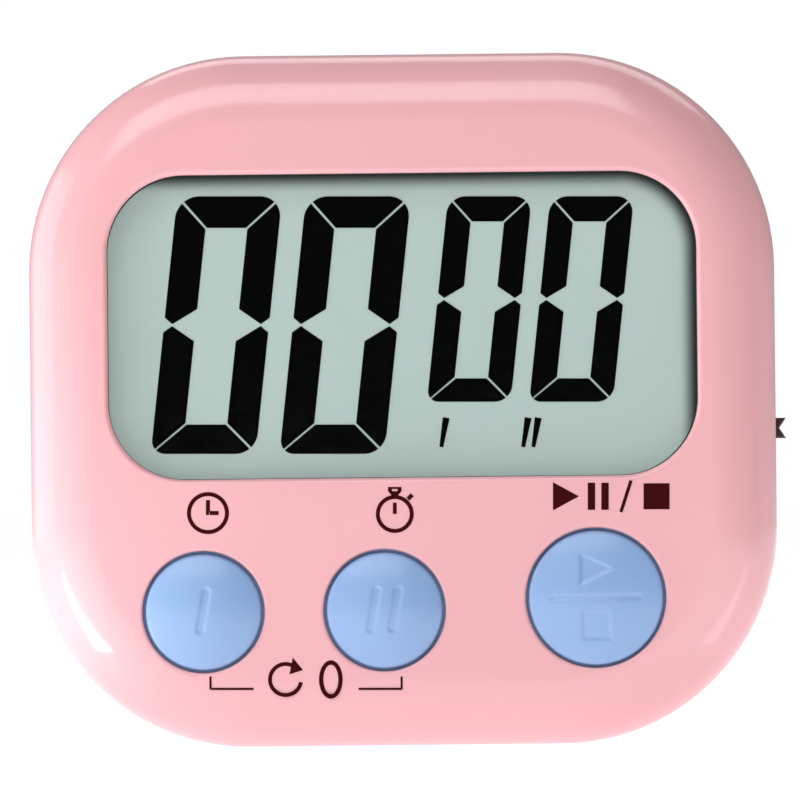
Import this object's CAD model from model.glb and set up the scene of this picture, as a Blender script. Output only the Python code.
"""The finished look of a pocket-size digital kitchen timer: glossy moulded case parts, a recessed
display with its figures, three domed buttons, the slide switch's knob, and the fittings on its back.

Sizes are in millimetres, in the part's own frame: X to the right seen from the front, Z up, and the
front facing -Y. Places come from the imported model."""

import math

import bmesh
import bpy
import numpy as np
from mathutils import Matrix, Vector


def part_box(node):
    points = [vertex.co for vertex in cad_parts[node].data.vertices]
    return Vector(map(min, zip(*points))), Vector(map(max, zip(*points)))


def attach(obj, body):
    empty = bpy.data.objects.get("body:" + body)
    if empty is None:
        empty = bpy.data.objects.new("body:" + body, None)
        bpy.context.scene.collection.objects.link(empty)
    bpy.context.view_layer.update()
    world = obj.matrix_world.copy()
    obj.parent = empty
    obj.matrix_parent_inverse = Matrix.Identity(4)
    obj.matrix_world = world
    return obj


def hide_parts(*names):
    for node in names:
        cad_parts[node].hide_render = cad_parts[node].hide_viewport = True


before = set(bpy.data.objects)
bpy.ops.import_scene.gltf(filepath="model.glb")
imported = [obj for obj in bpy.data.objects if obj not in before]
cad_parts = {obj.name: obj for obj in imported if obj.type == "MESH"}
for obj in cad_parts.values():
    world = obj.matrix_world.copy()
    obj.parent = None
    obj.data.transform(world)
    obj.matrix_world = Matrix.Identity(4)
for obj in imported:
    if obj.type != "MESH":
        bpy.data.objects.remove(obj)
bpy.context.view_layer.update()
MM = 0.001

# Case
CORNER_RADIUS = 19.1
WALL = 1.8
FRONT_EDGE_INSET = 6.0
FRONT_EDGE_DEPTH = 4.5
BACK_EDGE_RADIUS = 3.0
PARTING_ROUNDING = 0.14
RIM_ROUNDING = 0.3  # where an opening meets a face
WINDOW_ROUNDING = 0.45
WINDOW_RADIUS = 6.8
LENS_OVERLAP = 1.2
GAP = 0.25  # round a moving piece
CORNER_STEPS = 24
PAST = 1.0  # how far a cut reaches past the face that it goes through

# Print and figures
PRINT_TILT = -0.6  # degrees that the print and the figures sit off square
FIGURE_SLANT = math.tan(math.radians(5.9))
FIGURE_GAP = 0.17
INK_THICKNESS = 0.02
INK_OVERLAP = 0.01  # how far a print reaches into the face


def limits(name):
    """A CAD node's lowest and highest corners, in millimetres."""
    low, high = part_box(name)
    return low / MM, high / MM


def middle(name):
    low, high = limits(name)
    return (low + high) / 2


CASE_LOW, CASE_HIGH = limits("front_housing")
FRONT = CASE_LOW.y
BACK = limits("rear_housing")[1].y
CASE_WIDTH = CASE_HIGH.x - CASE_LOW.x
CASE_HEIGHT = CASE_HIGH.z - CASE_LOW.z
CASE_MIDDLE = CASE_HEIGHT / 2
FRONT_PART_END = CASE_HIGH.y
REAR_PART_START = FRONT_PART_END + 0.1
LIP_INSET = 0.95  # the rear part's lip, which stands inside the front part's edge
LIP_HEIGHT = 1.2
INNER_FRONT = FRONT + WALL
INNER_BACK = BACK - WALL
LENS_LOW, LENS_HIGH = limits("lcd_lens")
WINDOW_MIDDLE = (LENS_LOW + LENS_HIGH) / 2
WINDOW_WIDTH = LENS_HIGH.x - LENS_LOW.x - 2 * LENS_OVERLAP
WINDOW_HEIGHT = LENS_HIGH.z - LENS_LOW.z - 2 * LENS_OVERLAP
SEAL_INSET = LENS_OVERLAP + WINDOW_RADIUS
SEAL_CORNER = LENS_HIGH - Vector((SEAL_INSET, 0.0, SEAL_INSET))
SEAL_STAIN = 1.65  # how far the dark edge beside the seal reaches


# Outlines and shapes


def rounded(width, height, radius, centre, steps=12):
    """A rectangle with circular corners, anticlockwise seen from the front, as (x, z)."""
    points = []
    for corner, (right, up) in enumerate(((1, 1), (-1, 1), (-1, -1), (1, -1))):
        x = centre[0] + right * (width / 2 - radius)
        z = centre[1] + up * (height / 2 - radius)
        for step in range(steps + 1):
            angle = math.radians(90.0 * (corner + step / steps))
            points.append((x + radius * math.cos(angle), z + radius * math.sin(angle)))
    return points


def circle(x, z, radius, steps=48):
    angles = [2 * math.pi * step / steps for step in range(steps)]
    return [(x + radius * math.cos(a), z + radius * math.sin(a)) for a in angles]


def case_outline(inset):
    width = CASE_WIDTH - 2 * inset
    height = CASE_HEIGHT - 2 * inset
    return rounded(width, height, CORNER_RADIUS - inset, (0.0, CASE_MIDDLE), CORNER_STEPS)


def quarter(steps):
    """The angles from 0 to 90 degrees that draw a rounded edge."""
    return [math.radians(90.0 * step / steps) for step in range(steps + 1)]


def ring(y, outline):
    return [(x, y, z) for x, z in outline]


def lofted(rings):
    """A closed skin through rings of equal length, each a list of (x, y, z)."""
    shape = bmesh.new()
    rows = [[shape.verts.new(point) for point in points] for points in rings]
    for first, second in zip(rows, rows[1:]):
        for k in range(len(first)):
            after = (k + 1) % len(first)
            shape.faces.new((first[k], second[k], second[after], first[after]))
    shape.faces.new(rows[0])
    shape.faces.new(rows[-1])
    bmesh.ops.recalc_face_normals(shape, faces=shape.faces)
    return shape


def drum(place, radius, ends, steps=64):
    """A cylinder along Y through a place, between two limits of y."""
    return lofted([ring(y, circle(place.x, place.z, radius, steps)) for y in ends])


def block(x, y, z):
    """A box between two limits on each axis."""
    corners = ((x[0], z[0]), (x[1], z[0]), (x[1], z[1]), (x[0], z[1]))
    return lofted((ring(y[0], corners), ring(y[1], corners)))


def opening(outline_at, face, depth, rounding, into=1.0, steps=6):
    """What cuts an opening with a rounded rim. outline_at(margin) is its outline, face the y of the
    surface, and into 1 for an opening that runs towards +Y and -1 for the other way."""
    rings = [ring(face - into, outline_at(rounding))]
    for angle in quarter(steps):
        margin = rounding * (1 - math.sin(angle))
        y = face + into * (rounding * (1 - math.cos(angle)) - 0.002)
        rings.append(ring(y, outline_at(margin)))
    rings.append(ring(face + into * depth, outline_at(0.0)))
    return lofted(rings)


def hole(x, z, radius, face, depth, rounding, into=1.0, steps=64):
    """What cuts a round hole with a rounded rim."""
    return opening(lambda margin: circle(x, z, radius + margin, steps), face, depth, rounding, into)


def stored(name, shape):
    """A mesh in metres from a bmesh in millimetres."""
    shape.transform(Matrix.Scale(MM, 4))
    mesh = bpy.data.meshes.new(name)
    shape.to_mesh(mesh)
    shape.free()
    return mesh


def solid(name, shape):
    made = bpy.data.objects.new(name, stored(name, shape))
    bpy.context.scene.collection.objects.link(made)
    return made


def carve(target, operation, shapes):
    """Cuts shapes out of target with DIFFERENCE, or adds them with UNION, one after another."""
    helpers = []
    for shape in shapes:
        helper = solid("helper", shape)
        boolean = target.modifiers.new("carve", "BOOLEAN")
        boolean.operation = operation
        boolean.solver = "EXACT"
        boolean.object = helper
        helpers.append(helper)
    graph = bpy.context.evaluated_depsgraph_get()
    carved = bpy.data.meshes.new_from_object(target.evaluated_get(graph))
    target.modifiers.clear()
    target.data = carved
    for helper in helpers:
        bpy.data.objects.remove(helper, do_unlink=True)


def smooth(piece, degrees=35.0):
    """Smooth shading, with flat faces kept flat by weighting each normal by its faces' areas."""
    piece.data.shade_smooth()
    piece.data.set_sharp_from_angle(angle=math.radians(degrees))
    weighted = piece.modifiers.new("normals", "WEIGHTED_NORMAL")
    weighted.keep_sharp = True
    weighted.weight = 60


def finished(piece, body, slot, *nodes, finish=None):
    """Puts a piece on its body with its slot's finish, or another one, in place of the CAD nodes that
    it stands for."""
    piece.data.materials.clear()
    piece.data.materials.append(FINISHES[finish or slot])
    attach(piece, body)
    if nodes:
        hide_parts(*nodes)
    return piece


# Finishes


def channel(value):
    return value / 12.92 if value <= 0.04045 else ((value + 0.055) / 1.055) ** 2.4


def colour(text):
    """An sRGB hex value as linear red, green, blue and alpha."""
    return tuple(channel(int(text[i : i + 2], 16) / 255) for i in (1, 3, 5)) + (1.0,)


def node(tree, kind, inputs=None, **settings):
    """Adds a node. inputs sets its sockets by name or number, to a value or from another socket."""
    made = tree.nodes.new(kind)
    for name, value in settings.items():
        setattr(made, name, value)
    for name, value in (inputs or {}).items():
        if isinstance(value, bpy.types.NodeSocket):
            tree.links.new(value, made.inputs[name])
        else:
            made.inputs[name].default_value = value
    return made


def per_metre(size):
    """A texture scale whose features are this many millimetres across."""
    return 1.0 / (size * MM)


def blank(name):
    """A material with only its output, and the position on the object that its patterns use."""
    made = bpy.data.materials.new(name)
    made.use_nodes = True
    tree = made.node_tree
    tree.nodes.clear()
    place = node(tree, "ShaderNodeTexCoord").outputs["Object"]
    return made, tree, place


def close(tree, shader):
    node(tree, "ShaderNodeOutputMaterial", {"Surface": shader})


def surface(made, tree, tint, relief, light, dark, rough, spread, height, values):
    """Closes a material from two textures: tint blends its two tones, and relief sets its gloss and
    its bumps. spread is how far the roughness strays, as a share, and height is in millimetres."""
    tones = {0: tint.outputs["Fac"], 6: colour(light), 7: colour(dark)}
    tone = node(tree, "ShaderNodeMix", tones, data_type="RGBA")
    low, high = rough * (1 - spread), rough * (1 + spread)
    polish = {"Value": relief.outputs["Fac"], 1: 0.3, 2: 0.7, 3: low, 4: high}
    gloss = node(tree, "ShaderNodeMapRange", polish)
    depth = {"Height": relief.outputs["Fac"], "Strength": 1.0, "Distance": height * MM}
    bump = node(tree, "ShaderNodeBump", depth)
    values["Base Color"] = tone.outputs[2]
    values["Roughness"] = gloss.outputs["Result"]
    values["Normal"] = bump.outputs["Normal"]
    close(tree, node(tree, "ShaderNodeBsdfPrincipled", values).outputs["BSDF"])
    return made


def moulded(name, light, dark, rough, peel, height, ior=1.54, patch=9.0, sheen=None):
    """Injection-moulded plastic: two close tones in soft patches, and the mould's fine waviness, peel
    millimetres across and height millimetres deep, that breaks up its reflections."""
    made, tree, place = blank(name)
    clouds = node(tree, "ShaderNodeTexNoise", {"Vector": place, "Scale": per_metre(patch), "Detail": 2.0})
    wave = node(tree, "ShaderNodeTexNoise", {"Vector": place, "Scale": per_metre(peel), "Detail": 3.0})
    values = {"IOR": ior}
    if sheen is not None:
        values["Coat Weight"] = sheen
        values["Coat Roughness"] = 0.08
    return surface(made, tree, clouds, wave, light, dark, rough, 0.15, height, values)


def plated(name, light, dark, rough, grain, height, stretch=(1.0, 1.0, 1.0)):
    """Bright metal with fine marks, grain millimetres apart, drawn out along one axis by stretch."""
    made, tree, place = blank(name)
    along = node(tree, "ShaderNodeMapping", {"Vector": place, "Scale": stretch}).outputs["Vector"]
    marks = node(tree, "ShaderNodeTexNoise", {"Vector": along, "Scale": per_metre(grain), "Detail": 4.0})
    return surface(made, tree, marks, marks, light, dark, rough, 0.3, height, {"Metallic": 1.0})


def mottled(name, light, dark, patch, detail, values):
    """A surface in two close tones, in patches this many millimetres across."""
    made, tree, place = blank(name)
    size = {"Vector": place, "Scale": per_metre(patch), "Detail": detail}
    patches = node(tree, "ShaderNodeTexNoise", size)
    tones = {0: patches.outputs["Fac"], 6: colour(light), 7: colour(dark)}
    tone = node(tree, "ShaderNodeMix", tones, data_type="RGBA")
    shader = node(tree, "ShaderNodeBsdfPrincipled", {"Base Color": tone.outputs[2], **values})
    close(tree, shader.outputs["BSDF"])
    return made


def clear_acrylic():
    """Extruded acrylic sheet, laser-cut: see-through, with a faint hard reflection and hairlines. Only
    the outer faces mirror."""
    made, tree, place = blank("clear_acrylic")
    drawn = node(tree, "ShaderNodeMapping", {"Vector": place, "Scale": (1.0, 1.0, 14.0)})
    along = drawn.outputs["Vector"]
    hairs = node(tree, "ShaderNodeTexNoise", {"Vector": along, "Scale": per_metre(4.0), "Detail": 5.0})
    polish = {"Value": hairs.outputs["Fac"], 1: 0.3, 2: 0.7, 3: 0.03, 4: 0.07}
    gloss = node(tree, "ShaderNodeMapRange", polish).outputs["Result"]
    clear = node(tree, "ShaderNodeBsdfTransparent", {"Color": colour("#FBFDFC")})
    sheen = node(tree, "ShaderNodeBsdfGlossy", {"Color": colour("#FFFFFF"), "Roughness": gloss})
    mirror = node(tree, "ShaderNodeFresnel", {"IOR": 1.49}).outputs["Fac"]
    back = node(tree, "ShaderNodeNewGeometry").outputs["Backfacing"]
    outer = node(tree, "ShaderNodeMath", {0: mirror, 1: back}, operation="SUBTRACT", use_clamp=True)
    layers = {0: outer.outputs["Value"], 1: clear.outputs["BSDF"], 2: sheen.outputs["BSDF"]}
    close(tree, node(tree, "ShaderNodeMixShader", layers).outputs["Shader"])
    return made


def display_film():
    """A matt polariser film over a reflective LCD: grey-green, with a very fine sparkle. The layers
    under it spread the light sideways, so it stays bright close to the window's edge, and beside the
    seal at the top and the right it fades to black."""
    made, tree, place = blank("polariser_film")
    sparkle = node(tree, "ShaderNodeTexNoise", {"Vector": place, "Scale": per_metre(0.12), "Detail": 1.0})
    clouds = node(tree, "ShaderNodeTexNoise", {"Vector": place, "Scale": per_metre(18.0), "Detail": 1.0})
    both = {0: sparkle.outputs["Fac"], 1: clouds.outputs["Fac"]}
    grain = node(tree, "ShaderNodeMath", both, operation="MULTIPLY")
    tones = {0: grain.outputs["Value"], 6: colour("#95A19F"), 7: colour("#9CA8A6")}
    tone = node(tree, "ShaderNodeMix", tones, data_type="RGBA")
    corner = Vector((SEAL_CORNER.x, 0.0, SEAL_CORNER.z)) * MM
    beyond = place
    for operation, value in (
        ("SUBTRACT", corner),
        ("MAXIMUM", (0.0, 0.0, 0.0)),
        ("MULTIPLY", (1.0, 0.0, 1.0)),
    ):
        stage = node(tree, "ShaderNodeVectorMath", {0: beyond, 1: value}, operation=operation)
        beyond = stage.outputs["Vector"]
    reach = node(tree, "ShaderNodeVectorMath", {0: beyond}, operation="LENGTH").outputs["Value"]
    edge = WINDOW_RADIUS * MM
    fade = {"Value": reach, 1: edge - SEAL_STAIN * MM, 2: edge, 3: 1.0, 4: 0.0}
    clean = node(tree, "ShaderNodeMapRange", fade, interpolation_type="SMOOTHSTEP")
    layers = {0: clean.outputs["Result"], 6: colour("#0C100F"), 7: tone.outputs[2]}
    stained = node(tree, "ShaderNodeMix", layers, data_type="RGBA").outputs[2]
    depth = {"Height": sparkle.outputs["Fac"], "Strength": 0.4, "Distance": 0.01 * MM}
    values = {
        "Base Color": stained,
        "Roughness": 0.55,
        "Normal": node(tree, "ShaderNodeBump", depth).outputs["Normal"],
        "IOR": 1.4,
        "Emission Color": stained,
        "Emission Strength": 0.66,
    }
    close(tree, node(tree, "ShaderNodeBsdfPrincipled", values).outputs["BSDF"])
    return made


def board_laminate():
    """Green solder resist over woven glass: the weave and the tracks beneath show as faint relief."""
    made, tree, place = blank("board_laminate")
    turn = {"Vector": place, "Rotation": (math.radians(90.0), 0.0, 0.0)}
    threads = {
        "Vector": node(tree, "ShaderNodeMapping", turn).outputs["Vector"],
        "Scale": per_metre(1.2),
        "Color1": colour("#1F6B37"),
        "Color2": colour("#2A7A42"),
        "Mortar": colour("#3E9256"),
        "Mortar Size": 0.012,
    }
    weave = node(tree, "ShaderNodeTexBrick", threads)
    depth = {"Height": weave.outputs["Fac"], "Strength": 0.6, "Distance": 0.03 * MM}
    values = {
        "Base Color": weave.outputs["Color"],
        "Roughness": 0.4,
        "Normal": node(tree, "ShaderNodeBump", depth).outputs["Normal"],
        "IOR": 1.5,
    }
    close(tree, node(tree, "ShaderNodeBsdfPrincipled", values).outputs["BSDF"])
    return made


FINISHES = {
    # High-gloss ABS from a polished mould: long soft reflections with a trace of orange peel.
    "pink_abs": moulded("pink_abs", "#EDB1B7", "#EAADB3", 0.2, 1.6, 0.0022, patch=14.0, sheen=0.35),
    # The same plastic in pale blue, from a button mould with a softer, satin polish.
    "blue_abs": moulded("blue_abs", "#8EB0DE", "#88AADA", 0.36, 0.9, 0.0018, patch=5.0, sheen=0.25),
    # ABS tinted almost black with a red cast, satin from spark-eroded steel.
    "maroon_abs": moulded("maroon_abs", "#3A0409", "#27020A", 0.36, 0.25, 0.006, patch=1.0),
    "clear_acrylic": clear_acrylic(),
    "polariser_film": display_film(),
    # Liquid crystal switched to its dark state: near black, with a slight mottle.
    "figure_black": mottled(
        "liquid_crystal_black", "#000000", "#040505", 0.3, 2.0, {"Roughness": 0.3, "IOR": 1.05}
    ),
    # Pad-printed solvent ink: a dark maroon film with slightly uneven density.
    "print_ink": mottled(
        "pad_print_ink", "#2C0204", "#45060C", 0.25, 3.0, {"Roughness": 0.45, "IOR": 1.15}
    ),
    # Float glass, green-grey at its ground edges.
    "display_glass": moulded("display_glass", "#C3D2CC", "#BCCDC6", 0.08, 3.0, 0.0004, ior=1.52),
    # Striped conductive rubber, matt from its sawn faces.
    "black_elastomer": moulded("black_elastomer", "#1E1E20", "#2A2A2D", 0.7, 0.1, 0.01, ior=1.45),
    "board_laminate": board_laminate(),
    # Closed-cell foam tape with a skin: near black, faintly pitted.
    "gasket_foam": moulded("gasket_foam", "#1B2422", "#26302E", 0.7, 0.12, 0.008, ior=1.3),
    # Potting and component epoxy, set from a drop, with a soft waxy gloss.
    "black_epoxy": moulded("black_epoxy", "#101012", "#1A1A1C", 0.35, 0.5, 0.008, patch=2.0),
    # Translucent-looking grey silicone from a matt mould.
    "silicone_rubber": moulded("silicone_rubber", "#D8D8D2", "#CFCFC8", 0.6, 0.3, 0.006, ior=1.42),
    # Carbon-loaded rubber, dead matt.
    "carbon_rubber": moulded("carbon_rubber", "#151515", "#202020", 0.85, 0.15, 0.01, ior=1.45),
    # Glass-filled nylon, satin with a faint fibre grain.
    "black_nylon": moulded("black_nylon", "#141414", "#1E1E1E", 0.5, 0.2, 0.008, patch=1.5),
    # Piezo ceramic with a silvered face, slightly grainy.
    "ceramic": moulded("ceramic", "#D9D4C6", "#CFC9BA", 0.5, 0.15, 0.006, patch=2.0),
    # PVC insulation, smooth and a little waxy.
    "red_wire": moulded("red_wire", "#B3201F", "#A61B1B", 0.45, 0.3, 0.004, patch=2.0),
    "black_wire": moulded("black_wire", "#1A1A1A", "#232323", 0.45, 0.3, 0.004, patch=2.0),
    # Hot-dip tinned sheet: bright grey with the rolling lines showing through.
    "tinned_steel": plated("tinned_steel", "#C2C5C9", "#A9ADB1", 0.3, 0.25, 0.002, (1.0, 1.0, 6.0)),
    # Bright zinc plate over a rolled thread and a punched head.
    "zinc_steel": plated("zinc_steel", "#B9BDC2", "#9A9EA4", 0.3, 0.2, 0.003),
    # Rolled brass disc, gold with fine straight lines.
    "brass": plated("brass", "#D0A852", "#BC9243", 0.28, 0.15, 0.001, (8.0, 1.0, 1.0)),
    # Bright nickel over steel, with faint drawing marks.
    "nickel_plate": plated("nickel_plate", "#C9CBCD", "#B6B8BB", 0.2, 0.3, 0.001, (1.0, 1.0, 4.0)),
    # Barrel-plated nickel on a pressed magnet, soft edged and lightly scuffed.
    "magnet_nickel": plated("magnet_nickel", "#BDBFC3", "#A5A8AD", 0.24, 0.5, 0.0015),
}


def outer_rings(start, straight_end, inset, depth, steps):
    """Rings round a case part from its parting edge to its face, which lies depth past straight_end."""
    towards = 1.0 if straight_end > start else -1.0
    rings = []
    for angle in quarter(3):
        y = start + towards * PARTING_ROUNDING * (1 - math.cos(angle))
        rings.append(ring(y, case_outline(PARTING_ROUNDING * (1 - math.sin(angle)))))
    for angle in quarter(steps):
        y = straight_end + towards * depth * math.sin(angle)
        rings.append(ring(y, case_outline(inset * (1 - math.cos(angle)))))
    return rings


def cavity(end, straight_end, inset, depth):
    """The room inside a case part, from beyond its open side to its inner face."""
    towards = 1.0 if straight_end > end else -1.0
    rings = [ring(end, case_outline(WALL)), ring(straight_end, case_outline(WALL))]
    for angle in quarter(6)[1:]:
        y = straight_end + towards * depth * math.sin(angle)
        rings.append(ring(y, case_outline(WALL + inset * (1 - math.cos(angle)))))
    return lofted(rings)


def window_outline(margin):
    width = WINDOW_WIDTH + 2 * margin
    height = WINDOW_HEIGHT + 2 * margin
    centre = (WINDOW_MIDDLE.x, WINDOW_MIDDLE.z)
    return rounded(width, height, WINDOW_RADIUS + margin, centre, 20)


BUTTON_HOLE = 0.18  # the clearance of a button's hole round the CAD's cap
FLANGE = 0.75 + GAP  # how far a button's flange reaches past its cap
LIP_PLAY = 0.05  # inwards between the lip and its step
LIP_HEADROOM = 0.1
KNOB_HALF = 0.9  # half the knob's height
KNOB_TRAVEL = 2.0


BUTTONS = ("minute_button", "second_button", "start_stop_button")


def button_place(name):
    """A button's middle (x, z) and its cap's radius."""
    low, high = limits(name)
    return (low.x + high.x) / 2, (low.z + high.z) / 2, (high.x - low.x) / 2 - FLANGE


def knob_slot():
    """The slot in the right side that the switch's knob slides in."""
    low, high = limits("switch_knob")
    middle_y = (low.y + high.y) / 2
    half_y = (high.y - low.y) / 2 + GAP
    knob = middle("switch_actuator").z
    return block(
        (CASE_HIGH.x - WALL - PAST, CASE_HIGH.x + PAST),
        (middle_y - half_y, middle_y + half_y),
        (knob - KNOB_HALF - KNOB_TRAVEL - GAP, knob + KNOB_HALF + GAP),
    )


def front_shell():
    straight_end = FRONT + FRONT_EDGE_DEPTH
    rings = outer_rings(FRONT_PART_END, straight_end, FRONT_EDGE_INSET, FRONT_EDGE_DEPTH, 22)
    shell = solid("front_shell", lofted(rings))
    inner_depth = straight_end - INNER_FRONT
    cuts = [cavity(FRONT_PART_END + PAST, straight_end, FRONT_EDGE_INSET - WALL / 2, inner_depth)]
    step = (FRONT_PART_END - LIP_HEIGHT - LIP_HEADROOM, FRONT_PART_END + PAST)
    cuts.append(lofted([ring(y, case_outline(LIP_INSET - LIP_PLAY)) for y in step]))
    cuts.append(opening(window_outline, FRONT, WALL + PAST, WINDOW_ROUNDING))
    for name in BUTTONS:
        x, z, radius = button_place(name)
        cuts.append(hole(x, z, radius + BUTTON_HOLE, FRONT, WALL + PAST, RIM_ROUNDING, steps=96))
    cuts.append(knob_slot())
    carve(shell, "DIFFERENCE", cuts)
    smooth(shell)
    finished(shell, "case", "pink_abs", "front_housing")


# Buttons

BUTTON_ROUNDING = 0.45
BUTTON_GAP = 0.11
BUTTON_CROWN = 1.0
FACE_RING = 0.13  # between the rings of points on a button's face
SPOKES = 144
COLLAR_DOWN = 1.0  # from the case's face to the collar that fills a button's hole
COLLAR_PLAY = 0.02
FLANGE_DOWN = 0.1  # from the case's inner face
FLANGE_THICKNESS = 0.8
STEM_RADIUS = 3.0
ENGRAVING = 0.15
MARK_EDGE = 0.36  # the width of a mark's sloping side
MARK_SPREAD = 0.12  # how much of that slope lies outside the mark's outline
STROKE_HALF = 0.42
STROKE_TOP = 1.75
STROKE_BOTTOM = -1.55
STROKE_LEAN = 0.6
STROKE_APART = 0.95


def distance_to_stroke(x, z, start, end):
    """How far points are from a straight stroke's middle line."""
    ax, az = start
    bx, bz = end[0] - ax, end[1] - az
    along = ((x - ax) * bx + (z - az) * bz) / (bx * bx + bz * bz)
    along = np.clip(along, 0.0, 1.0)
    return np.hypot(x - ax - along * bx, z - az - along * bz)


def distance_to_convex(x, z, corners):
    """How far points are outside a convex outline, given anticlockwise, and negative inside it."""
    far = np.full_like(x, -np.inf)
    for (ax, az), (bx, bz) in zip(corners, corners[1:] + corners[:1]):
        length = math.hypot(bx - ax, bz - az)
        far = np.maximum(far, ((bz - az) * (x - ax) - (bx - ax) * (z - az)) / length)
    return far


def slanted_stroke(x, z, middle_x):
    top = (middle_x + STROKE_LEAN / 2, STROKE_TOP)
    bottom = (middle_x - STROKE_LEAN / 2, STROKE_BOTTOM)
    return distance_to_stroke(x, z, top, bottom) - STROKE_HALF


def minute_mark(x, z):
    """One slanted stroke."""
    return slanted_stroke(x, z, 0.0)


def second_mark(x, z):
    """Two slanted strokes."""
    return np.minimum(slanted_stroke(x, z, -STROKE_APART), slanted_stroke(x, z, STROKE_APART))


def start_stop_mark(x, z):
    """A start triangle above a bar, and a stop square below it."""
    start = distance_to_convex(x, z, [(-1.4, 1.1), (1.6, 2.55), (-1.4, 4.0)])
    bar = distance_to_stroke(x, z, (-3.8, 0.05), (3.8, 0.05)) - 0.22
    stop = distance_to_convex(x, z, [(-1.3, -3.75), (1.3, -3.75), (1.3, -1.15), (-1.3, -1.15)])
    return np.minimum(np.minimum(start, stop), bar)


def button_profile(radius, top, crown):
    """Radius and y from the middle of a button's face, over its rounded edge, to its skirt."""
    face = radius - BUTTON_ROUNDING
    count = int(face / FACE_RING)
    points = []
    for step in range(1, count + 1):
        r = face * step / count
        points.append((r, top + crown * (r / face) ** 2))
    slope = math.atan(2 * crown / face)
    for step in range(1, 11):
        angle = slope + (math.pi / 2 - slope) * step / 10
        r = face + BUTTON_ROUNDING * (math.sin(angle) - math.sin(slope))
        points.append((r, top + crown + BUTTON_ROUNDING * (math.cos(slope) - math.cos(angle))))
    return points


def button(name, body, mark):
    x, z, radius = button_place(name)
    low, high = limits(name)
    shape = bmesh.new()
    profile = button_profile(radius + BUTTON_HOLE - BUTTON_GAP, low.y, BUTTON_CROWN)
    edge = profile[-1][0]
    collar, collar_top = radius + BUTTON_HOLE - COLLAR_PLAY, FRONT + COLLAR_DOWN
    flange, flange_top = radius + FLANGE, INNER_FRONT + FLANGE_DOWN
    flange_end = flange_top + FLANGE_THICKNESS
    profile += [(edge, collar_top), (collar, collar_top), (collar, flange_top)]
    profile += [(flange, flange_top), (flange, flange_end)]
    profile += [(STEM_RADIUS, flange_end), (STEM_RADIUS, high.y)]
    angles = np.arange(SPOKES) * 2 * math.pi / SPOKES
    tip = shape.verts.new((x, low.y + ENGRAVING * pressed(mark, np.zeros(1), np.zeros(1))[0], z))
    rows = []
    for r, y in profile:
        dx, dz = r * np.cos(angles), r * np.sin(angles)
        sunk = ENGRAVING * pressed(mark, dx, dz) if y < collar_top else np.zeros(SPOKES)
        rows.append([shape.verts.new((x + a, y + s, z + b)) for a, b, s in zip(dx, dz, sunk)])
    for k in range(SPOKES):
        shape.faces.new((tip, rows[0][(k + 1) % SPOKES], rows[0][k]))
    for first, second in zip(rows, rows[1:]):
        for k in range(SPOKES):
            after = (k + 1) % SPOKES
            shape.faces.new((first[k], first[after], second[after], second[k]))
    shape.faces.new(rows[-1])
    bmesh.ops.recalc_face_normals(shape, faces=shape.faces)
    cap = solid(name + "_cap", shape)
    smooth(cap, 50.0)
    finished(cap, body, "blue_abs", name)


def pressed(mark, x, z):
    """How deep a mark is at each point, from 0 on the face to 1 on its floor, with sloping sides."""
    down = np.clip((MARK_SPREAD - mark(x, z)) / MARK_EDGE, 0.0, 1.0)
    return down * down * (3 - 2 * down)


# Flat marks: the display's figures and the print

FIGURE_HEIGHT = 22.8
FIGURES_DOWN = 2.77  # from the top of the display
LARGE_LEFTS = (-22.34, -10.94)  # where each figure starts
SMALL_LEFTS = (2.11, 11.16)
SMALL_SCALE = 0.798
UNIT_MARKS = (3.6, 10.85, 11.75)
UNIT_MARKS_DOWN = 22.2
FILM_GAP = 0.02
INK = 0.36  # the usual width of a printed line
FINE_INK = 0.19


def turned_points(points, degrees, centre):
    turn = math.radians(degrees)
    made = []
    for x, z in points:
        dx, dz = x - centre[0], z - centre[1]
        made.append(
            (
                centre[0] + dx * math.cos(turn) - dz * math.sin(turn),
                centre[1] + dx * math.sin(turn) + dz * math.cos(turn),
            )
        )
    return made


def flat_marks(name, outlines, y, slot, finish, tilt=PRINT_TILT):
    """Thin marks lying across Y between two limits, each outline a closed list of (x, z)."""
    curve = bpy.data.curves.new(name, "CURVE")
    curve.dimensions = "2D"
    curve.fill_mode = "BOTH"
    curve.extrude = (y[1] - y[0]) / 2 * MM
    for outline in outlines:
        spline = curve.splines.new("POLY")
        spline.points.add(len(outline) - 1)
        tilted = turned_points(outline, tilt, (0.0, CASE_MIDDLE))
        for point, (x, z) in zip(spline.points, tilted):
            point.co = (x * MM, z * MM, 0.0, 1.0)
        spline.use_cyclic_u = True
    drawn = bpy.data.objects.new(name + "_outline", curve)
    mesh = bpy.data.meshes.new_from_object(drawn)
    bpy.data.objects.remove(drawn, do_unlink=True)
    mesh.transform(Matrix.Rotation(math.pi / 2, 4, "X"))
    mesh.transform(Matrix.Translation((0.0, (y[0] + y[1]) / 2 * MM, 0.0)))
    marks = bpy.data.objects.new(name, mesh)
    bpy.context.scene.collection.objects.link(marks)
    return finished(marks, "case", slot, finish=finish)


def arc(x, z, radius, start, end, steps=10):
    angles = [math.radians(start + (end - start) * step / steps) for step in range(steps + 1)]
    return [(x + radius * math.cos(a), z + radius * math.sin(a)) for a in angles]


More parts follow.
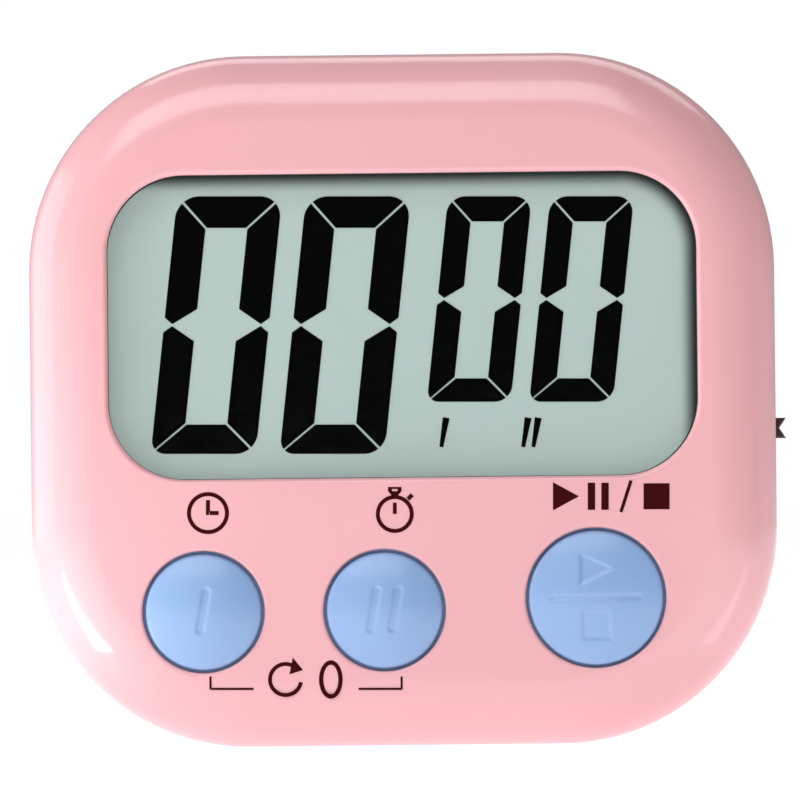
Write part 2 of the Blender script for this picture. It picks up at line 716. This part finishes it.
def figure(scale):
    """The six lit segments of a 0, upright, with its lower left corner at the origin."""
    width, height, bar, foot = 9.3 * scale, FIGURE_HEIGHT * scale, 2.8 * scale, 2.6 * scale
    top, low_left, low_right = 1.95 * scale, 1.3 * scale, 1.8 * scale
    waist, tip, outer, inner = height / 2, 0.73 * scale, 0.65 * scale, 1.42 * scale
    cut = FIGURE_GAP / 2 * math.sqrt(2)
    half = FIGURE_GAP / 2
    turn = 3.0  # degrees of corner that the cut takes
    a = arc(width - top, height - top, top, 45 + turn, 90) + arc(top, height - top, top, 90, 135 - turn)
    a += [(bar + cut, height - bar), (width - bar - cut, height - bar)]
    f = arc(top, height - top, top, 135 + turn, 180)
    f += [(0.0, waist + outer), (tip, waist + half), (bar, waist + inner), (bar, height - bar - cut)]
    b = arc(width - top, height - top, top, 45 - turn, 0)
    b += [(width, waist + outer), (width - tip, waist + half)]
    b += [(width - bar, waist + inner), (width - bar, height - bar - cut)]
    e = arc(low_left, low_left, low_left, 225 - turn, 180)
    e += [(0.0, waist - outer), (tip, waist - half), (bar, waist - inner), (bar, foot + cut)]
    c = arc(width - low_right, low_right, low_right, -45 + turn, 0)
    c += [(width, waist - outer), (width - tip, waist - half)]
    c += [(width - bar, waist - inner), (width - bar, foot + cut)]
    d = arc(low_left, low_left, low_left, 225 + turn, 270)
    d += arc(width - low_right, low_right, low_right, 270, 315 - turn)
    d += [(width - bar - cut, foot), (bar + cut, foot)]
    return [a, b, c, d, e, f]


def slanted(points, x, z):
    """Points leaned over to the right and moved to (x, z)."""
    return [(x + px + pz * FIGURE_SLANT, z + pz) for px, pz in points]


def display_figures():
    """Two large and two small figures, and the minute and second marks under the small ones."""
    low, high = limits("lcd_front_polariser")
    top = high.z - FIGURES_DOWN
    outlines = []
    for lefts, scale in ((LARGE_LEFTS, 1.0), (SMALL_LEFTS, SMALL_SCALE)):
        for x in lefts:
            for segment in figure(scale):
                outlines.append(slanted(segment, x, top - FIGURE_HEIGHT * scale))
    mark_z = top - UNIT_MARKS_DOWN
    for x in UNIT_MARKS:
        outlines.append(tapered((x + 0.22, mark_z + 2.6), (x - 0.22, mark_z), 0.62, 0.34))
    y = (low.y - FILM_GAP - 0.03, low.y - FILM_GAP)
    flat_marks("display_figures", outlines, y, "polariser_film", "figure_black")


def tapered(start, end, wide, narrow):
    """A straight mark that narrows from start to end."""
    along = Vector((end[0] - start[0], end[1] - start[1])).normalized()
    across = Vector((-along.y, along.x))
    outline = []
    for (x, z), out in ((start, wide / 2), (start, -wide / 2), (end, -narrow / 2), (end, narrow / 2)):
        outline.append((x + across.x * out, z + across.y * out))
    return outline


def line(start, end, width):
    return tapered(start, end, width, width)


def ring_marks(x, z, radius, width):
    """A drawn circle, as its outer outline and the hole in it."""
    return [circle(x, z, radius + width / 2), circle(x, z, radius - width / 2)]


def clock_sign(x, z):
    """A clock's ring, and its two hands."""
    hands = [line((x, z - INK / 2), (x, z + 1.15), INK), line((x + 0.1, z), (x + 0.95, z), INK)]
    return ring_marks(x, z, 1.68, INK), hands


def stopwatch_sign(x, z):
    """A stopwatch's ring, and its hand, crown and side button."""
    hand = line((x, z), (x, z + 1.0), 0.34)
    neck = line((x, z + 1.62), (x, z + 2.2), 0.5)
    crown = line((x - 0.6, z + 2.2), (x + 0.6, z + 2.2), 0.38)
    side = line((x + 1.15, z + 1.3), (x + 1.55, z + 1.7), 0.38)
    return ring_marks(x, z, 1.5, INK), [hand, neck, crown, side]


def start_stop_signs(x, z):
    """Start triangle, pause bars, a slash and a stop square."""
    signs = [[(x - 5.0, z - 1.25), (x - 2.7, z), (x - 5.0, z + 1.25)]]
    for bar in (-1.6, -0.4):
        signs.append(line((x + bar, z - 1.2), (x + bar, z + 1.2), 0.66))
    signs.append(line((x + 1.0, z - 1.4), (x + 1.9, z + 1.4), 0.3))
    signs.append([(x + a, z + b) for a, b in ((3.0, -1.15), (5.3, -1.15), (5.3, 1.15), (3.0, 1.15))])
    return signs


def turned_arrow_sign(x, z):
    """The open ring of a reset arrow, and the arrow's head on its upper end."""
    start, end, outer, inner = 60, 350, 1.55, 1.2
    band = arc(x, z, outer, start, end, 28) + arc(x, z, inner, end, start, 28)
    tip_x, tip_z = arc(x, z, (outer + inner) / 2, start, end)[0]
    head = [(tip_x - 0.35, tip_z - 0.75), (tip_x + 0.85, tip_z - 0.35), (tip_x - 0.05, tip_z + 0.75)]
    return band, head


def zero_sign(x, z):
    """A narrow 0, as its outer outline and the hole in it."""
    outlines = []
    for half_width, half_height in ((1.05, 1.7), (0.66, 1.3)):
        outlines.append([(x + half_width * a, z + half_height * b) for a, b in circle(0.0, 0.0, 1.0, 36)])
    return outlines


def brackets(left, right, base):
    """Two corner lines that reach towards each other under the first two buttons."""
    lines = []
    for x, inward in ((left, 3.8), (right, -3.8)):
        lines.append(line((x, base + 1.1), (x, base - FINE_INK / 2), FINE_INK))
        lines.append(line((x, base), (x + inward, base), FINE_INK))
    return lines


def printed():
    """The print on the case's face: a clock over the minute button, a stopwatch over the second
    button, start and stop signs over the third, and a reset sign bracketed to the first two."""
    minute, second, start_stop = (
        turned_points([button_place(name)[:2]], -PRINT_TILT, (0.0, CASE_MIDDLE))[0]
        for name in BUTTONS
    )
    clock, hands = clock_sign(minute[0] + 0.4, minute[1] + 8.75)
    watch, crown = stopwatch_sign(second[0] + 0.9, second[1] + 8.5)
    reset_x, reset_z = (minute[0] + second[0]) / 2 + 1.15, minute[1] - 5.95
    turned_arrow, head = turned_arrow_sign(reset_x - 1.9, reset_z)
    marks = {
        "print_minute": clock,
        "print_minute_hands": hands,
        "print_second": watch,
        "print_second_hands": crown,
        "print_start_stop": start_stop_signs(start_stop[0] + 1.2, start_stop[1] + 8.95),
        "print_reset": [turned_arrow, *zero_sign(reset_x + 2.1, reset_z)],
        "print_reset_arrow": [head],
        "print_brackets": brackets(minute[0] + 0.62, second[0] + 1.5, reset_z - 0.83),
    }
    y = (FRONT - INK_THICKNESS, FRONT + INK_OVERLAP)
    for name, outlines in marks.items():
        flat_marks(name, outlines, y, "maroon_abs", "print_ink")


# Lens seal and switch knob

SEAL_GAP = 0.02
SEAL_OFFSET = (-0.05, -0.06)  # how far off the window's middle the seal sits
KNOB_PLATE = 0.9
KNOB_ROOT = 0.3  # how far the knob's block runs into its plate
KNOB_NOTCH = 0.6
KNOB_BEVEL = 0.16


def gasket():
    """The black edge of the lens's seal, a hairline inside the window."""
    inner = [(x + SEAL_OFFSET[0], z + SEAL_OFFSET[1]) for x, z in window_outline(-0.1)]
    y = (INNER_FRONT + SEAL_GAP, LENS_LOW.y - SEAL_GAP)
    outlines = [window_outline(0.2), inner]
    flat_marks("lens_gasket", outlines, y, "black_elastomer", "gasket_foam", tilt=0.0)


def knob_outline(z, left, tip, bevel):
    """A block seen from the front, with a V cut in its outer end."""
    half = KNOB_HALF - bevel
    right = tip - bevel
    notch = (right - KNOB_NOTCH, z)
    return [(left, z - half), (right, z - half), notch, (right, z + half), (left, z + half)]


def knob():
    """A small block with a V cut in its outer end, on the plate that covers the slot."""
    low, high = limits("switch_knob")
    z = middle("switch_actuator").z
    plate = low.x + KNOB_PLATE
    rings = []
    for y, bevel in (
        (low.y, KNOB_BEVEL),
        (low.y + KNOB_BEVEL, 0.0),
        (high.y - KNOB_BEVEL, 0.0),
        (high.y, KNOB_BEVEL),
    ):
        rings.append(ring(y, knob_outline(z, plate - KNOB_ROOT, high.x, bevel)))
    piece = solid("knob_cap", lofted(rings))
    carve(piece, "UNION", [block((low.x, plate), (low.y, high.y), (low.z, high.z))])
    smooth(piece, 30.0)
    finished(piece, "switch_slider", "maroon_abs", "switch_knob")


# Back


CASE_SCREWS = ("case_screw_1", "case_screw_2", "case_screw_3", "case_screw_4")
SCREW_RECESS_RADIUS = 2.05
SCREW_SEAT = BACK - 2.9
SCREW_POST_RADIUS = 2.9
SCREW_POST_END = 1.1  # where a post starts, in y
SCREW_HOLE_RADIUS = 1.05
SCREW_RADIUS = 0.95
SCREW_HEAD_RADIUS = 1.8
SCREW_HEAD_EDGE = 0.3
SCREW_FLAT_RADIUS = 0.5
MAGNETS = ("magnet_left", "magnet_right")
MAGNET_RADIUS = 5.0
MAGNET_PLAY = 0.1
MAGNET_DEPTH = 2.1
MAGNET_EDGE = 0.25
MAGNET_WALL = 1.2
CUP_START = 5.2  # where the walls round the magnets and the cell start, in y
STAND_LOW, STAND_HIGH = limits("stand")
STAND_PIN = 1.4  # how far each pin sticks out of the leg
STAND_PIN_RADIUS = 0.8
STAND_HALF = (STAND_HIGH.x - STAND_LOW.x) / 2 - STAND_PIN
STAND_CORNER = 4.0
STAND_EDGE = 0.35
STAND_DEPTH = 2.35
STAND_TOP_GAP = 0.3
STAND_WALLS = ((-13.3, 13.3), (3.9, BACK), (3.6, 41.0))  # the block that its recess is cut in
HINGE_BELOW_TOP = 2.2
HINGE = Vector((0.0, (STAND_LOW.y + STAND_HIGH.y) / 2, STAND_HIGH.z - HINGE_BELOW_TOP))
HINGE_PLAY = 0.1
HEEL_ROOM = 2.45  # inwards from the hinge
HEEL_DOWN = 1.4
GRIPS = 3
GRIP_UP = 3.35
GRIP_PITCH = 1.6
GRIP_LENGTH = 12.0
GRIP_WIDTH = 0.7
SCOOP_RADIUS = 4.5
SCOOP_OUT = 0.75  # its middle, out from the recess's side
SCOOP_UP = 9.5  # its middle, up from the leg's free end
SCOOP_DEPTH = 1.2
DOOR = middle("battery_door")
DOOR_RADIUS = 7.2
DOOR_PLAY = 0.1
DOOR_DEPTH = 1.55
DOOR_EDGE = 0.25
DOOR_WALL = 2.2
LUG_REACH = 1.0
LUG_ROOT_RADIUS = 5.0
LUG_SPREAD = 28.0
LUG_THICKNESS = 0.8
COIN_SLOT = (8.0, 1.5)
COIN_SLOT_DEPTH = 0.7
ARROW_DEPTH = 0.18
CELL_ROOM_RADIUS = 6.0
CELL_ROOM = 3.2  # inwards from the cell's middle
SOUND_HOLE_RADIUS = 0.75
SOUND_HOLE_RING = 2.7
SMALL_RIM = 0.15


def leg_outline(half, low, high, margin):
    """Round corners at the free end and square ones at the hinge."""
    points = [(half + margin, high + margin), (-half - margin, high + margin)]
    radius = STAND_CORNER + margin
    for side, start in ((-1, 180.0), (1, 270.0)):
        for step in range(13):
            angle = math.radians(start + 90.0 * step / 12)
            x = side * (half - STAND_CORNER) + radius * math.cos(angle)
            points.append((x, low + STAND_CORNER + radius * math.sin(angle)))
    return points


def capsule(x, z, length, width, margin=0.0):
    """A slot's outline, with round ends."""
    thick = width + 2 * margin
    return rounded(length + 2 * margin, thick, thick / 2 - 0.005, (x, z), 8)


def rimmed(outline_at, front, back, edge, steps=6):
    """A plate with its back rim rounded. outline_at(margin) is its outline."""
    rings = [ring(front, outline_at(0.0))]
    for angle in quarter(steps):
        y = back - edge * (1 - math.sin(angle))
        rings.append(ring(y, outline_at(-edge * (1 - math.cos(angle)))))
    return lofted(rings)


def crosswise(low, high, y, z, radius, steps=32):
    """A cylinder along X."""
    rows = []
    for x in (low, high):
        rows.append([(x, y + a, z + b) for a, b in circle(0.0, 0.0, radius, steps)])
    return lofted(rows)


def case_room():
    """The hollow of the rear shell, less the walls round the stand, the cell door and the magnets."""
    straight_end = BACK - BACK_EDGE_RADIUS
    start = FRONT_PART_END - LIP_HEIGHT - PAST
    room = solid("room", cavity(start, straight_end, WALL, INNER_BACK - straight_end))
    walls = [block(*STAND_WALLS), drum(DOOR, DOOR_RADIUS + DOOR_WALL, (CUP_START, BACK))]
    for name in MAGNETS:
        walls.append(drum(middle(name), MAGNET_RADIUS + MAGNET_WALL, (CUP_START, BACK), 48))
    for name in CASE_SCREWS:
        walls.append(drum(middle(name), SCREW_POST_RADIUS, (SCREW_POST_END, BACK), 48))
    carve(room, "DIFFERENCE", walls)
    shape = bmesh.new()
    shape.from_mesh(room.data)
    shape.transform(Matrix.Scale(1 / MM, 4))
    bpy.data.objects.remove(room, do_unlink=True)
    return shape


def stand_recess():
    """What cuts the leg's recess, the room for its heel as it turns, and the hole for its pins."""
    half = STAND_HALF + GAP
    low, high = STAND_LOW.z - GAP, STAND_HIGH.z + STAND_TOP_GAP
    pin = STAND_HALF + STAND_PIN + HINGE_PLAY
    heel_y = (HINGE.y - HEEL_ROOM, BACK - 1.9)
    return [
        opening(lambda margin: leg_outline(half, low, high, margin), BACK, STAND_DEPTH, 0.2, into=-1.0),
        block((-half + 0.03, half - 0.03), heel_y, (HINGE.z - HEEL_DOWN, high - 0.03)),
        crosswise(-pin, pin, HINGE.y, HINGE.z, STAND_PIN_RADIUS + HINGE_PLAY),
    ]


def back_holes():
    """The round recesses and holes of the back, each as (x, z, radius, depth, rim)."""
    holes = [(STAND_HALF + GAP + SCOOP_OUT, STAND_LOW.z + SCOOP_UP, SCOOP_RADIUS, SCOOP_DEPTH, 0.3)]
    for name in CASE_SCREWS:
        screw = middle(name)
        holes.append((screw.x, screw.z, SCREW_RECESS_RADIUS, BACK - SCREW_SEAT, 0.25))
    for name in MAGNETS:
        magnet = middle(name)
        holes.append((magnet.x, magnet.z, MAGNET_RADIUS + MAGNET_PLAY, MAGNET_DEPTH, SMALL_RIM))
    holes.append((DOOR.x, DOOR.z, DOOR_RADIUS + DOOR_PLAY, DOOR_DEPTH, SMALL_RIM))
    buzzer = middle("buzzer_disc")
    for x, z in [(0.0, buzzer.z)] + circle(0.0, buzzer.z, SOUND_HOLE_RING, 6):
        holes.append((x, z, SOUND_HOLE_RADIUS, WALL + PAST, SMALL_RIM))
    return holes


def rear_shell():
    straight_end = BACK - BACK_EDGE_RADIUS
    rings = [ring(y, case_outline(LIP_INSET)) for y in (FRONT_PART_END - LIP_HEIGHT, REAR_PART_START)]
    rings += outer_rings(REAR_PART_START, straight_end, BACK_EDGE_RADIUS, BACK_EDGE_RADIUS, 14)
    shell = solid("rear_shell", lofted(rings))
    cuts = [case_room()] + stand_recess()
    for x, z, radius, depth, rim in back_holes():
        cuts.append(hole(x, z, radius, BACK, depth, rim, into=-1.0))
    for name in CASE_SCREWS:
        cuts.append(drum(middle(name), SCREW_HOLE_RADIUS, (0.0, SCREW_SEAT + 0.5), 32))
    cuts.append(drum(DOOR, DOOR_RADIUS + LUG_REACH + GAP, (DOOR.y - 0.8, DOOR.y + 0.15)))
    cuts.append(drum(DOOR, CELL_ROOM_RADIUS, (middle("button_cell").y - CELL_ROOM, DOOR.y)))
    cuts.append(knob_slot())
    for cut in cuts:
        carve(shell, "DIFFERENCE", [cut])
    smooth(shell)
    finished(shell, "case", "pink_abs", "rear_housing")


def slot_cut(x, z, size, face, depth, rounding):
    """What cuts a slot into the back, with a rounded rim. size is its length and width."""
    return opening(lambda margin: capsule(x, z, *size, margin), face, depth, rounding, into=-1.0)


def stand_outline(margin):
    return leg_outline(STAND_HALF, STAND_LOW.z, STAND_HIGH.z, margin)


def stand():
    """The leg: a rounded rim, three thumb grooves near its end and a pin on each side."""
    leg = solid("stand_leg_fine", rimmed(stand_outline, STAND_LOW.y, STAND_HIGH.y, STAND_EDGE))
    pin = STAND_HALF + STAND_PIN
    carve(leg, "UNION", [crosswise(-pin, pin, HINGE.y, HINGE.z, STAND_PIN_RADIUS)])
    grooves = []
    for step in range(GRIPS):
        z = STAND_LOW.z + GRIP_UP + GRIP_PITCH * step
        grooves.append(slot_cut(0.0, z, (GRIP_LENGTH, GRIP_WIDTH), STAND_HIGH.y, 0.35, SMALL_RIM))
    carve(leg, "DIFFERENCE", grooves)
    smooth(leg)
    finished(leg, "stand_leg", "pink_abs", "stand")


def round_the_door(radius, turn):
    """A point at this radius and turn in degrees about the door's axis."""
    angle = math.radians(turn)
    return DOOR.x + radius * math.cos(angle), DOOR.z + radius * math.sin(angle)


def lug(turn, y):
    """A sector about the door's axis between two limits of y, turned by so many degrees."""
    outline = []
    for radius, way in ((DOOR_RADIUS + LUG_REACH, 1), (LUG_ROOT_RADIUS, -1)):
        for step in range(13):
            outline.append(round_the_door(radius, turn + way * LUG_SPREAD * (step / 12 - 0.5)))
    return lofted((ring(y[0], outline), ring(y[1], outline)))


def turn_arrow():
    """A curved arrow near the door's rim, as outlines to cut."""
    band = []
    for radius, way in ((6.15, 1), (5.75, -1)):
        for step in range(13):
            band.append(round_the_door(radius, 90.0 + way * (18.0 - 36.0 * step / 12)))
    head = [round_the_door(5.95, 63.0), round_the_door(6.6, 73.0), round_the_door(5.3, 73.0)]
    return band, head


def door_outline(margin):
    return circle(DOOR.x, DOOR.z, DOOR_RADIUS + margin, 96)


def door():
    """The cell door: a rounded rim, a coin slot, a turn arrow and two lugs under the case wall."""
    low, high = limits("battery_door")
    disc = solid("cell_door_fine", rimmed(door_outline, low.y, high.y, DOOR_EDGE))
    lug_y = (low.y + 0.01, low.y + LUG_THICKNESS)
    carve(disc, "UNION", [lug(0.0, lug_y), lug(180.0, lug_y)])
    cuts = [slot_cut(DOOR.x, DOOR.z, COIN_SLOT, high.y, COIN_SLOT_DEPTH, 0.18)]
    for outline in turn_arrow():
        cuts.append(lofted((ring(high.y - ARROW_DEPTH, outline), ring(high.y + PAST, outline))))
    carve(disc, "DIFFERENCE", cuts)
    smooth(disc)
    finished(disc, "cell_door", "pink_abs", "battery_door")


def lathed(profile, place, steps):
    """A solid about an axis along Y through a place, from (radius, y) points."""
    return lofted([ring(y, circle(place.x, place.z, radius, steps)) for radius, y in profile])


def magnets():
    """Pressed discs with soft rims, glued flush."""
    for name in MAGNETS:
        low, high = limits(name)
        profile = [(MAGNET_RADIUS, low.y)]
        for angle in quarter(6):
            radius = MAGNET_RADIUS - MAGNET_EDGE * (1 - math.cos(angle))
            profile.append((radius, high.y - MAGNET_EDGE * (1 - math.sin(angle))))
        disc = solid(name + "_disc", lathed(profile, middle(name), 96))
        smooth(disc)
        finished(disc, "case", "magnet_nickel", name)


def screw_profile(tip, head):
    """Radius and y of a plain shank with a cone at its tip, and of a pan head."""
    seat = SCREW_SEAT + 0.05
    crown = seat + SCREW_HEAD_EDGE
    profile = [(0.35, tip), (SCREW_RADIUS, tip + 0.95), (SCREW_RADIUS, seat)]
    profile += [(SCREW_HEAD_RADIUS, seat), (SCREW_HEAD_RADIUS, crown)]
    for angle in quarter(8)[1:]:
        radius = SCREW_FLAT_RADIUS + (SCREW_HEAD_RADIUS - SCREW_FLAT_RADIUS) * math.cos(angle)
        profile.append((radius, crown + (head - crown) * math.sin(angle)))
    return profile


def cross_recess(x, z, top):
    """What cuts the cross into a head: two blades that taper inwards."""
    blades = []
    for upright in (False, True):
        rings = []
        for y, scale in ((top - 0.95, 0.35), (top + 0.2, 1.1)):
            a, b = 1.05 * scale, 0.24 * (scale + 0.3) / 1.3
            if upright:
                a, b = b, a
            rings.append(ring(y, [(x - a, z - b), (x + a, z - b), (x + a, z + b), (x - a, z + b)]))
        blades.append(lofted(rings))
    return blades


def screws():
    """Pan heads with a tapered cross recess, on plain shanks."""
    for name in CASE_SCREWS:
        low, high = limits(name)
        place = middle(name)
        screw = solid(name + "_fine", lathed(screw_profile(low.y, high.y), place, 64))
        carve(screw, "DIFFERENCE", cross_recess(place.x, place.z, high.y))
        smooth(screw, 40.0)
        finished(screw, "case", "zinc_steel", name)


# Studio

# Sizes and places in the studio are in metres, and powers in watts.
AMBIENT = 0.31  # how bright the surround is to all but the camera
CASE_CENTRE = (0.0, 0.0, 0.03)
UPRIGHT = math.radians(90.0)
CAMERA_DISTANCE = 1.4
CAMERA_LEFT = 0.00027
CAMERA_ROLL = math.radians(0.62)
SENSOR_WIDTH = 36.0
SHARP_PLANE = 4.0 * MM  # how far before the frame's origin the view is measured
VIEW_WIDTH = 70.88 * MM


def studio():
    """A white paper floor that glows a little, and an even white surround."""
    world = bpy.data.worlds.new("studio")
    bpy.context.scene.world = world
    world.use_nodes = True
    tree = world.node_tree
    tree.nodes.clear()
    seen = node(tree, "ShaderNodeLightPath").outputs["Is Camera Ray"]
    level = node(tree, "ShaderNodeMapRange", {"Value": seen, 3: AMBIENT, 4: 1.0})
    sky = node(tree, "ShaderNodeBackground", {"Strength": level.outputs["Result"]})
    sky.inputs["Color"].default_value = (1.0, 1.0, 1.0, 1.0)
    node(tree, "ShaderNodeOutputWorld", {"Surface": sky.outputs["Background"]})
    shape = bmesh.new()
    bmesh.ops.create_circle(shape, cap_ends=True, segments=64, radius=3000.0)
    floor = solid("floor", shape)
    glow = {"Roughness": 0.9, "Emission Color": (1.0, 1.0, 1.0, 1.0), "Emission Strength": 0.76}
    floor.data.materials.append(mottled("white_paper", "#DEDEDE", "#DADADA", 1.0, 3.0, glow))


def softbox(name, place, size, power, aim=CASE_CENTRE, mirrored=True):
    """A soft light. With mirrored off, glossy surfaces don't show it."""
    light = bpy.data.lights.new(name, "AREA")
    light.shape = "RECTANGLE"
    light.size, light.size_y = size
    light.energy = power
    lamp = bpy.data.objects.new(name, light)
    bpy.context.scene.collection.objects.link(lamp)
    lamp.location = place
    lamp.rotation_euler = (Vector(aim) - Vector(place)).to_track_quat("-Z", "Y").to_euler()
    lamp.visible_camera = False
    lamp.visible_glossy = mirrored
    return lamp


def floor_strip(name, place, length, width, turn, power):
    """A narrow light lying on the floor beside the case, which its lower corner mirrors."""
    lamp = softbox(name, place, (length, width), power)
    lamp.rotation_euler = (math.pi, 0.0, math.radians(turn))


def dark_card(name, place, size, turn):
    """A black felt card, unseen by the camera, for the case to mirror."""
    shape = bmesh.new()
    bmesh.ops.create_grid(shape, x_segments=1, y_segments=1, size=500.0)
    card = solid(name, shape)
    card.scale = (size[0], size[1], 1.0)
    card.rotation_euler = turn
    card.location = place
    card.visible_camera = False
    felt = mottled("dark_felt", "#303030", "#3A3A3A", 2.0, 3.0, {"Roughness": 1.0})
    card.data.materials.append(felt)


def camera():
    """A long lens level with the middle of the case."""
    data = bpy.data.cameras.new("camera")
    made = bpy.data.objects.new("camera", data)
    bpy.context.scene.collection.objects.link(made)
    data.sensor_width = SENSOR_WIDTH
    data.lens = SENSOR_WIDTH * (CAMERA_DISTANCE - SHARP_PLANE) / VIEW_WIDTH
    data.clip_end = 20.0
    made.location = (-CAMERA_LEFT, -CAMERA_DISTANCE, CASE_MIDDLE * MM)
    made.rotation_euler = (UPRIGHT, CAMERA_ROLL, 0.0)
    bpy.context.scene.camera = made


CARRIED = {
    "clear_acrylic": ("lcd_lens",),
    "polariser_film": ("lcd_front_polariser", "lcd_reflector"),
    "display_glass": ("lcd_front_glass", "lcd_rear_glass"),
    "black_elastomer": ("zebra_connector",),
    "board_laminate": ("main_board",),
    "black_epoxy": ("controller_blob", "buzzer_inductor", "buzzer_transistor", "bias_resistor"),
    "silicone_rubber": ("silicone_keypad",),
    "carbon_rubber": ("minute_pill", "second_pill", "start_stop_pill"),
    "black_nylon": ("switch_base", "switch_actuator"),
    "ceramic": ("buzzer_ceramic", "reset_capacitor"),
    "red_wire": ("buzzer_lead_red",),
    "black_wire": ("buzzer_lead_black",),
    "tinned_steel": ("switch_frame",),
    "zinc_steel": ("board_screw_1", "board_screw_2", "board_screw_3"),
    "brass": ("buzzer_disc",),
    "nickel_plate": ("clock_crystal", "positive_contact", "negative_contact", "button_cell"),
}


def carried_over():
    """The CAD nodes that stay, each with its finish."""
    for finish, names in CARRIED.items():
        for name in names:
            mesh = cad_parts[name].data
            mesh.materials.clear()
            mesh.materials.append(FINISHES[finish])


camera()
studio()
softbox("left_softbox", (-0.62, 0.09, 0.08), (0.7, 0.63), 2.3, aim=(0.0, 0.09, 0.08))
softbox("top_softbox", (0.0, -0.5, 0.5), (0.9, 0.36), 2.7)
softbox("key_softbox", (-0.25, -0.16, 0.01), (0.2, 0.3), 0.36, mirrored=False)
softbox("front_softbox", (-0.5, -1.1, 0.02), (0.4, 0.5), 0.9, mirrored=False)
softbox("back_softbox", (0.1, 0.35, 0.65), (0.9, 0.3), 1.5)
floor_strip("left_strip", (-0.062, -0.029, 0.003), 0.064, 0.006, 27.0, 0.011)
floor_strip("right_strip", (0.062, -0.029, 0.003), 0.064, 0.006, -27.0, 0.0018)
# The right card gives the rounded side its darker band, and the front card a black to mirror.
dark_card("right_card", (0.2, -0.33, 0.2), (0.8, 0.6), (0.0, UPRIGHT, 0.0))
dark_card("front_card", (0.0, -1.7, 0.1), (2.4, 2.0), (UPRIGHT, 0.0, 0.0))
carried_over()
front_shell()
button("minute_button", "minute_key", minute_mark)
button("second_button", "second_key", second_mark)
button("start_stop_button", "start_stop_key", start_stop_mark)
display_figures()
printed()
knob()
gasket()
rear_shell()
stand()
door()
magnets()
screws()

bpy.context.scene.view_settings.view_transform = "Standard"
